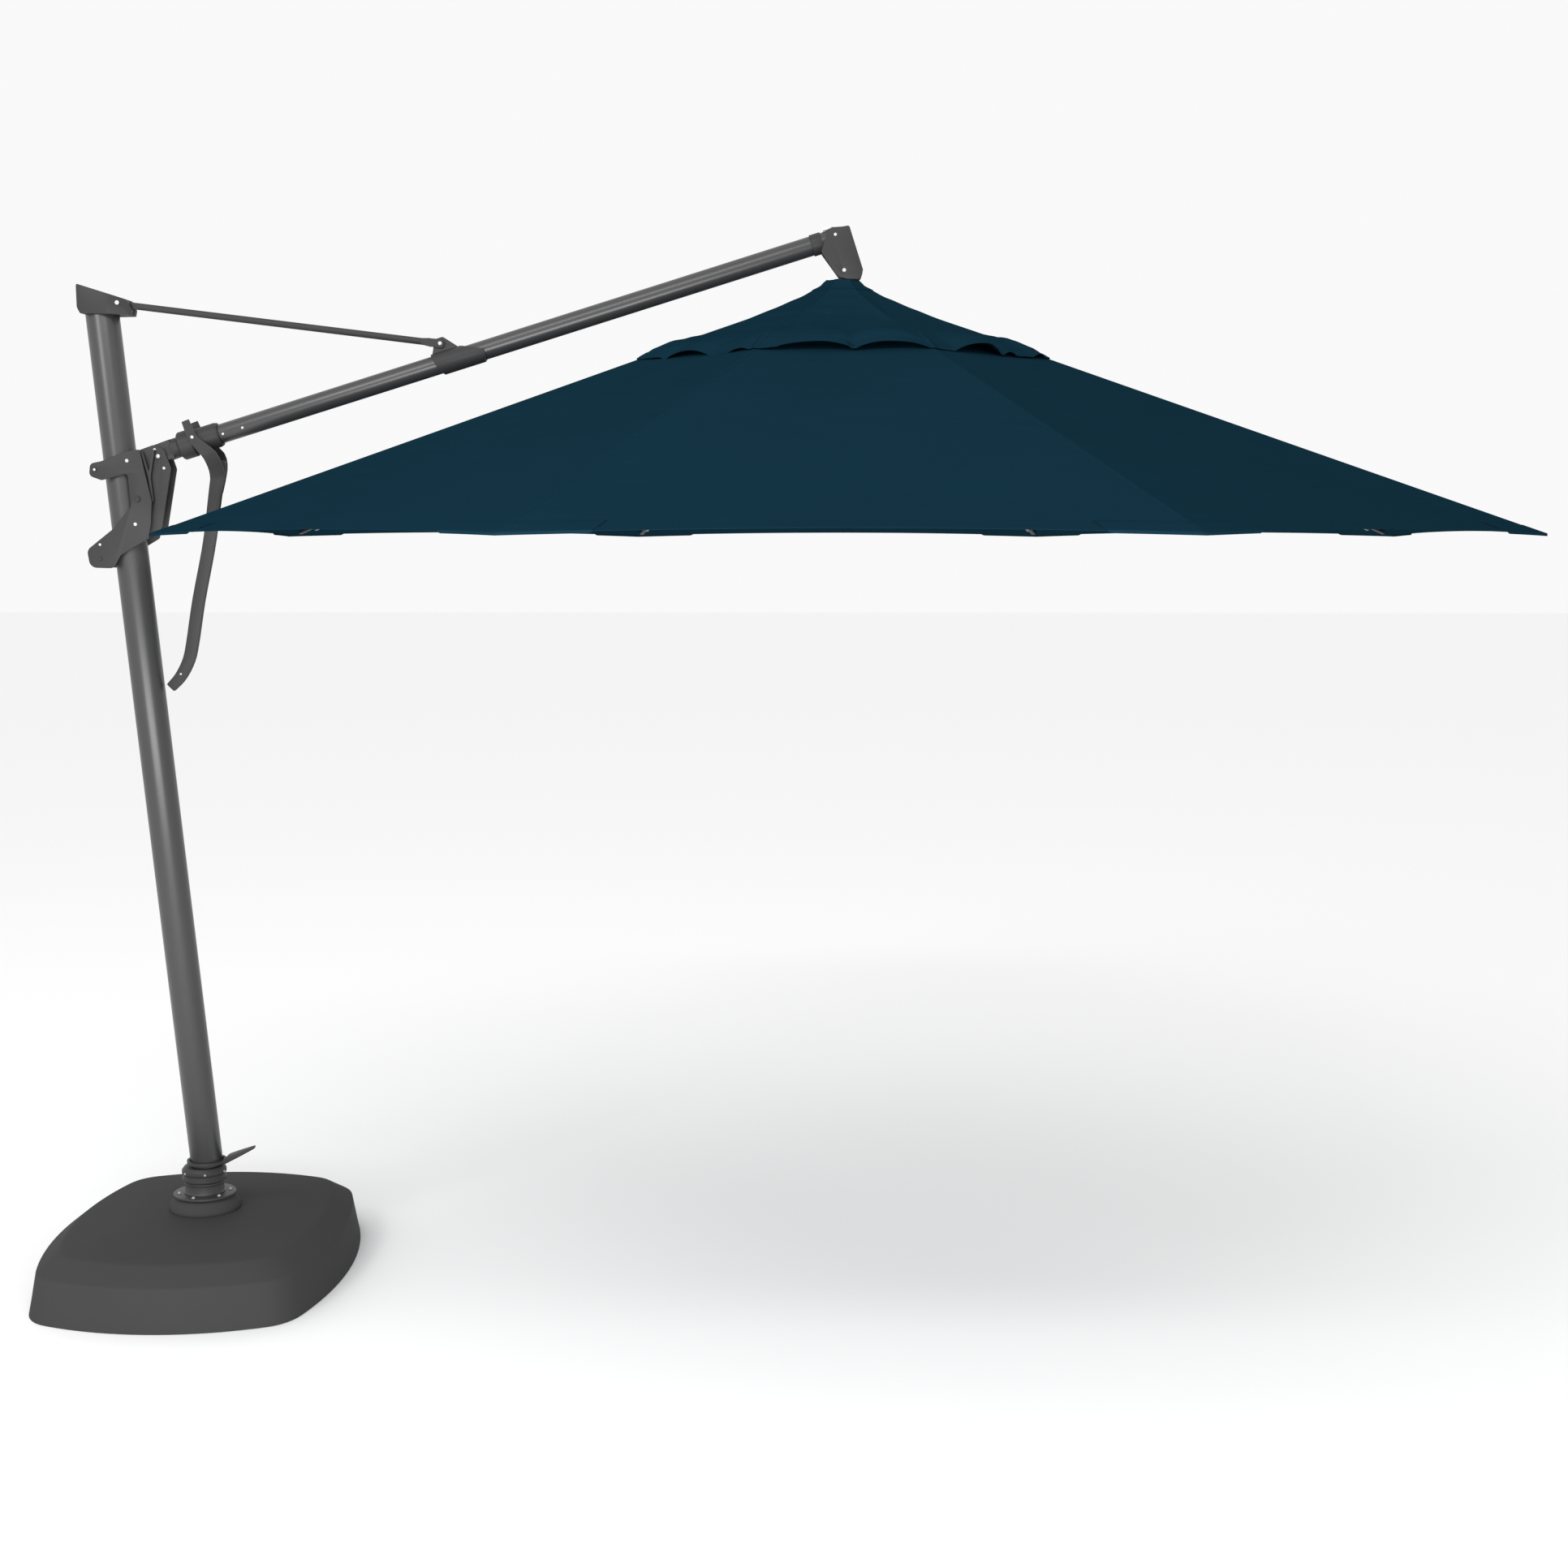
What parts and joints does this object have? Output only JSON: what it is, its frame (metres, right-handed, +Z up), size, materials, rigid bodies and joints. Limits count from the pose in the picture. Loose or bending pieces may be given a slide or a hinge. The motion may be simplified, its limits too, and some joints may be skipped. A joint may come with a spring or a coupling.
{
  "type": "patio umbrella with base",
  "caption": "Cantilever patio umbrella: leaning mast on a weighted swivel base, boom with tie rod, sliding carriage, curved handle and vented octagonal canopy.",
  "frame": {"origin": "on the floor under the swivel axis of the hub", "axes": "+X towards the canopy, +Y to the back, +Z up"},
  "size_m": [4.262, 3.666, 3.1601],
  "materials": {
    "base_plastic": "matte textured moulding",
    "steel_frame": "satin powder coat",
    "ballast": "cast concrete",
    "tube_coat": "satin powder coat",
    "casting_coat": "matte powder coat on a casting",
    "nylon": "black nylon",
    "fastener": "zinc-plated",
    "canopy_cloth": "dark teal woven outdoor canvas"
  },
  "bodies": {
    "base": {"base_cover": "base_plastic", "base_tray": "base_plastic", "cross_frame": "steel_frame", "ballast_1": "ballast", "ballast_2": "ballast", "ballast_3": "ballast", "ballast_4": "ballast", "hub_post": "steel_frame", "base_collar": "base_plastic", "hub_flange": "steel_frame"},
    "mast": {"swivel_socket": "casting_coat", "mast_tube": "tube_coat", "mast_cap": "casting_coat"},
    "pedal": {"foot_pedal": "casting_coat"},
    "carriage": {"carriage_side_front": "casting_coat", "carriage_side_back": "casting_coat", "carriage_clevis": "casting_coat", "glide_pad_upper": "nylon", "glide_pad_lower": "nylon", "axle_upper": "fastener", "axle_lower": "fastener", "boom_pin": "fastener"},
    "upper_roller": {"roller_upper": "nylon"},
    "lower_roller": {"roller_lower": "nylon"},
    "button": {"lock_button": "nylon"},
    "boom_root": {"boom_root": "casting_coat", "tie_sleeve": "casting_coat", "tie_pin": "fastener"},
    "tie": {"tie_rod": "casting_coat"},
    "boom": {"boom_tube": "tube_coat", "swivel_collar": "casting_coat", "knuckle": "casting_coat", "head_pin": "fastener"},
    "handle": {"handle": "casting_coat"},
    "canopy_head": {"canopy_hub": "casting_coat", "centre_pole": "tube_coat", "canopy_main": "canopy_cloth", "canopy_vent": "canopy_cloth"},
    "runner": {"runner": "nylon"},
    "rib_1": {"rib_1": "tube_coat"},
    "rib_2": {"rib_2": "tube_coat"},
    "rib_3": {"rib_3": "tube_coat"},
    "rib_4": {"rib_4": "tube_coat"},
    "rib_5": {"rib_5": "tube_coat"},
    "rib_6": {"rib_6": "tube_coat"},
    "rib_7": {"rib_7": "tube_coat"},
    "rib_8": {"rib_8": "tube_coat"},
    "strut_1": {"strut_1": "tube_coat"},
    "strut_2": {"strut_2": "tube_coat"},
    "strut_3": {"strut_3": "tube_coat"},
    "strut_4": {"strut_4": "tube_coat"},
    "strut_5": {"strut_5": "tube_coat"},
    "strut_6": {"strut_6": "tube_coat"},
    "strut_7": {"strut_7": "tube_coat"},
    "strut_8": {"strut_8": "tube_coat"}
  },
  "joints": [
    {"name": "mast_spin", "type": "hinge", "parent": "base", "child": "mast", "pos_m": [0, 0, 0.29], "axis": [0, 0, 1], "continuous": true},
    {"name": "pedal_press", "type": "hinge", "parent": "mast", "child": "pedal", "pos_m": [0.009, 0, 0.35], "axis": [0, 1, 0], "range_deg": [0, 4], "stiffness_Nm_per_rad": 20, "springref_deg": -4.58},
    {"name": "boom_pitch", "type": "hinge", "parent": "carriage", "child": "boom_root", "pos_m": [-0.062, 0, 2.498], "axis": [0, -1, 0], "range_deg": [0, 60], "deforming": ["canopy_main", "canopy_vent"]},
    {"name": "carriage_slide", "type": "slide", "parent": "mast", "child": "carriage", "axis": [0.0905, 0, -0.9959], "range_m": [0, 1.3258]},
    {"name": "tie_swing", "type": "hinge", "parent": "boom_root", "child": "tie", "pos_m": [0.776, 0, 2.827], "axis": [0, -1, 0], "range_deg": [-121.38, 0]},
    {"name": "boom_roll", "type": "hinge", "parent": "boom_root", "child": "boom", "pos_m": [-0.163, 0, 2.478], "axis": [0.9554, 0, 0.2954], "range_deg": [-25, 25]},
    {"name": "handle_swing", "type": "hinge", "parent": "boom", "child": "handle", "pos_m": [0.045, 0, 2.553], "axis": [0, -1, 0], "range_deg": [-48.1, 0]},
    {"name": "head_level", "type": "hinge", "parent": "boom", "child": "canopy_head", "pos_m": [1.965, 0, 3.033], "axis": [0, -1, 0], "range_deg": [-60.1, 0]},
    {"name": "runner_slide", "type": "slide", "parent": "canopy_head", "child": "runner", "axis": [0, 0, -1], "range_m": [0, 1.4989]},
    {"name": "upper_roller_spin", "type": "hinge", "parent": "carriage", "child": "upper_roller", "pos_m": [-0.244, 0, 2.458], "axis": [0, 1, 0], "continuous": true},
    {"name": "lower_roller_spin", "type": "hinge", "parent": "carriage", "child": "lower_roller", "pos_m": [-0.236, 0, 2.196], "axis": [0, 1, 0], "continuous": true},
    {"name": "button_press", "type": "slide", "parent": "carriage", "child": "button", "axis": [0, 1, 0], "range_m": [0, 0.004], "stiffness_N_per_m": 300, "springref_m": -0.004},
    {"name": "rib_1_fold", "type": "hinge", "parent": "canopy_head", "child": "rib_1", "pos_m": [2.01913, 0.02449, 2.951], "axis": [-0.3827, 0.9239, 0], "range_deg": [0, 67.1]},
    {"name": "rib_2_fold", "type": "hinge", "parent": "canopy_head", "child": "rib_2", "pos_m": [1.98449, 0.05913, 2.951], "axis": [-0.9239, 0.3827, 0], "range_deg": [0, 67.1]},
    {"name": "rib_3_fold", "type": "hinge", "parent": "canopy_head", "child": "rib_3", "pos_m": [1.93551, 0.05913, 2.951], "axis": [-0.9239, -0.3827, 0], "range_deg": [0, 67.1]},
    {"name": "rib_4_fold", "type": "hinge", "parent": "canopy_head", "child": "rib_4", "pos_m": [1.90087, 0.02449, 2.951], "axis": [-0.3827, -0.9239, 0], "range_deg": [0, 67.1]},
    {"name": "rib_5_fold", "type": "hinge", "parent": "canopy_head", "child": "rib_5", "pos_m": [1.90087, -0.02449, 2.951], "axis": [0.3827, -0.9239, 0], "range_deg": [0, 67.1]},
    {"name": "rib_6_fold", "type": "hinge", "parent": "canopy_head", "child": "rib_6", "pos_m": [1.93551, -0.05913, 2.951], "axis": [0.9239, -0.3827, 0], "range_deg": [0, 67.1]},
    {"name": "rib_7_fold", "type": "hinge", "parent": "canopy_head", "child": "rib_7", "pos_m": [1.98449, -0.05913, 2.951], "axis": [0.9239, 0.3827, 0], "range_deg": [0, 67.1]},
    {"name": "rib_8_fold", "type": "hinge", "parent": "canopy_head", "child": "rib_8", "pos_m": [2.01913, -0.02449, 2.951], "axis": [0.3827, 0.9239, 0], "range_deg": [0, 67.1]},
    {"name": "strut_1_fold", "type": "hinge", "parent": "runner", "child": "strut_1", "pos_m": [1.99179, 0.02778, 2.49], "axis": [0.3827, -0.9239, 0], "range_deg": [0, 78.98]},
    {"name": "strut_2_fold", "type": "hinge", "parent": "runner", "child": "strut_2", "pos_m": [1.96284, 0.04212, 2.49], "axis": [0.9239, -0.3827, 0], "range_deg": [0, 78.98]},
    {"name": "strut_3_fold", "type": "hinge", "parent": "runner", "child": "strut_3", "pos_m": [1.93222, 0.03179, 2.49], "axis": [0.9239, 0.3827, 0], "range_deg": [0, 78.98]},
    {"name": "strut_4_fold", "type": "hinge", "parent": "runner", "child": "strut_4", "pos_m": [1.91788, 0.00283, 2.49], "axis": [0.3827, 0.9239, 0], "range_deg": [0, 78.98]},
    {"name": "strut_5_fold", "type": "hinge", "parent": "runner", "child": "strut_5", "pos_m": [1.92821, -0.02778, 2.49], "axis": [-0.3827, 0.9239, 0], "range_deg": [0, 78.98]},
    {"name": "strut_6_fold", "type": "hinge", "parent": "runner", "child": "strut_6", "pos_m": [1.95717, -0.04212, 2.49], "axis": [-0.9239, 0.3827, 0], "range_deg": [0, 78.98]},
    {"name": "strut_7_fold", "type": "hinge", "parent": "runner", "child": "strut_7", "pos_m": [1.98778, -0.03179, 2.49], "axis": [-0.9239, -0.3827, 0], "range_deg": [0, 78.98]},
    {"name": "strut_8_fold", "type": "hinge", "parent": "runner", "child": "strut_8", "pos_m": [2.00212, -0.00283, 2.49], "axis": [-0.3827, -0.9239, 0], "range_deg": [0, 78.98]}
  ],
  "couplings": [
    {"joint": "carriage_slide", "follows": "boom_pitch", "m_per_rad": 1.2651},
    {"joint": "tie_swing", "follows": "boom_pitch", "ratio": -2.0213},
    {"joint": "handle_swing", "follows": "boom_pitch", "ratio": -0.8},
    {"joint": "head_level", "follows": "boom_pitch", "ratio": -1},
    {"joint": "runner_slide", "follows": "boom_pitch", "m_per_rad": 1.4304},
    {"joint": "rib_1_fold", "follows": "boom_pitch", "ratio": 1.1167},
    {"joint": "rib_2_fold", "follows": "boom_pitch", "ratio": 1.1167},
    {"joint": "rib_3_fold", "follows": "boom_pitch", "ratio": 1.1167},
    {"joint": "rib_4_fold", "follows": "boom_pitch", "ratio": 1.1167},
    {"joint": "rib_5_fold", "follows": "boom_pitch", "ratio": 1.1167},
    {"joint": "rib_6_fold", "follows": "boom_pitch", "ratio": 1.1167},
    {"joint": "rib_7_fold", "follows": "boom_pitch", "ratio": 1.1167},
    {"joint": "rib_8_fold", "follows": "boom_pitch", "ratio": 1.1167},
    {"joint": "strut_1_fold", "follows": "boom_pitch", "ratio": 1.3147},
    {"joint": "strut_2_fold", "follows": "boom_pitch", "ratio": 1.3147},
    {"joint": "strut_3_fold", "follows": "boom_pitch", "ratio": 1.3147},
    {"joint": "strut_4_fold", "follows": "boom_pitch", "ratio": 1.3147},
    {"joint": "strut_5_fold", "follows": "boom_pitch", "ratio": 1.3147},
    {"joint": "strut_6_fold", "follows": "boom_pitch", "ratio": 1.3147},
    {"joint": "strut_7_fold", "follows": "boom_pitch", "ratio": 1.3147},
    {"joint": "strut_8_fold", "follows": "boom_pitch", "ratio": 1.3147}
  ]
}
